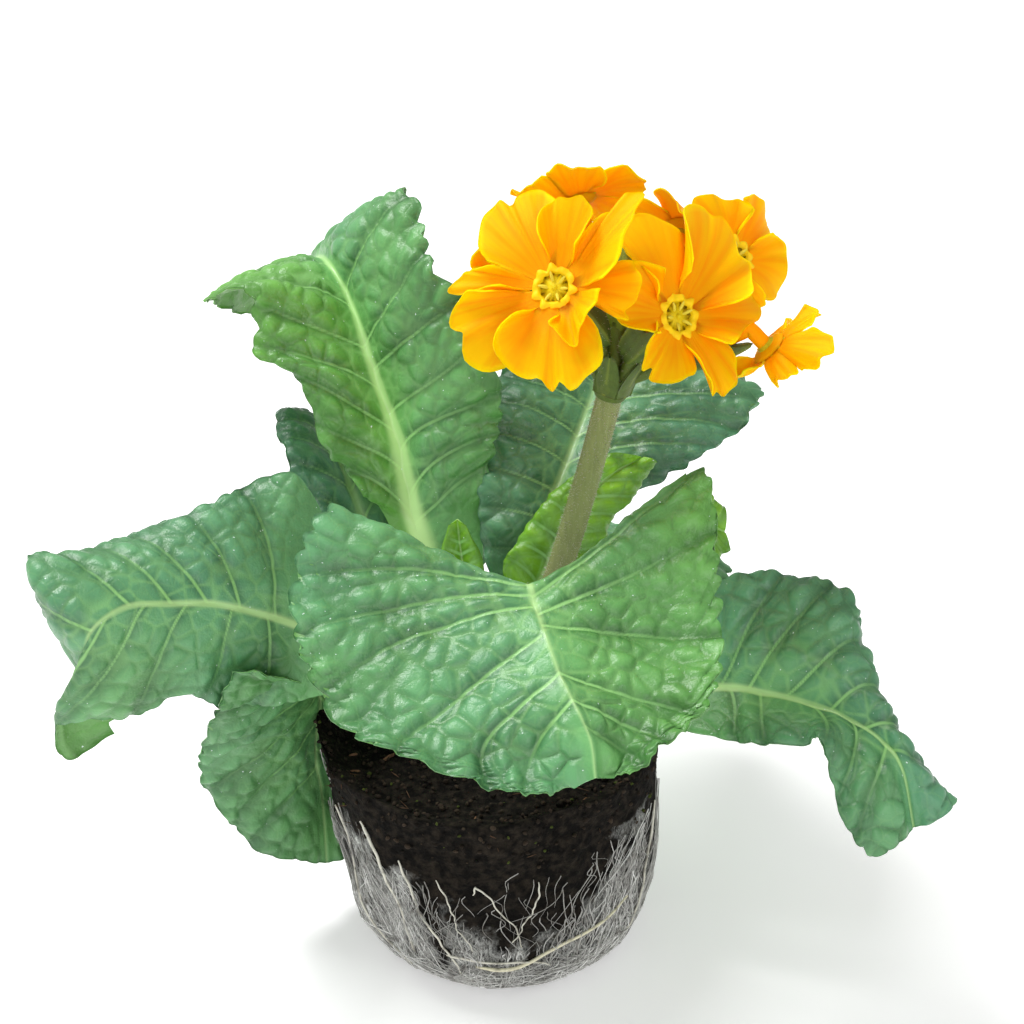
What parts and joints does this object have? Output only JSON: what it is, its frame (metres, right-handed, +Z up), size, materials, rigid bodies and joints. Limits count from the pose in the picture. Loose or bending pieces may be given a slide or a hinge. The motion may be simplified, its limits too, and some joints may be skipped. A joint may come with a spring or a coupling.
{
  "type": "polyanthus plant with its root ball",
  "caption": "Polyanthus out of its pot: a compost plug matted with roots, a rosette of quilted leaves and a stalk with a head of notched orange-yellow flowers.",
  "frame": {"origin": "centre of the flat underside of the compost plug", "axes": "+Z up along the plug, -Y towards the front, +X to the right seen from the front"},
  "size_m": [0.2055, 0.1814, 0.1978],
  "materials": {
    "soil": "matte",
    "root": "matte",
    "crown": "matte",
    "leaf": "satin",
    "young_leaf": "satin",
    "stalk": "matte",
    "sepal": "matte",
    "petal": "satin",
    "eye": "matte"
  },
  "bodies": {
    "root": {"compost_plug": "soil", "root_net": "root", "crown": "crown", "scape": "stalk", "bracts": "sepal", "flower_bud": "sepal", "leaf_front": "leaf", "leaf_back_left": "leaf", "leaf_left": "leaf", "leaf_right": "leaf", "leaf_low_left": "leaf", "leaf_back": "leaf", "leaf_inner_left": "leaf", "leaf_low_right": "leaf", "leaf_low_back_right": "leaf", "leaf_low_back_left": "leaf", "leaf_young_back": "young_leaf", "leaf_young_right": "young_leaf", "leaf_bud": "young_leaf", "flower_front_corolla": "petal", "flower_front_eye": "eye", "flower_front_calyx": "sepal", "flower_front_right_corolla": "petal", "flower_front_right_eye": "eye", "flower_front_right_calyx": "sepal", "flower_back_right_corolla": "petal", "flower_back_right_eye": "eye", "flower_back_right_calyx": "sepal", "flower_right_corolla": "petal", "flower_right_eye": "eye", "flower_right_calyx": "sepal", "flower_back_corolla": "petal", "flower_back_eye": "eye", "flower_back_calyx": "sepal", "flower_back_left_corolla": "petal", "flower_back_left_eye": "eye", "flower_back_left_calyx": "sepal", "flower_left_corolla": "petal", "flower_left_eye": "eye", "flower_left_calyx": "sepal"}
  },
  "joints": []
}
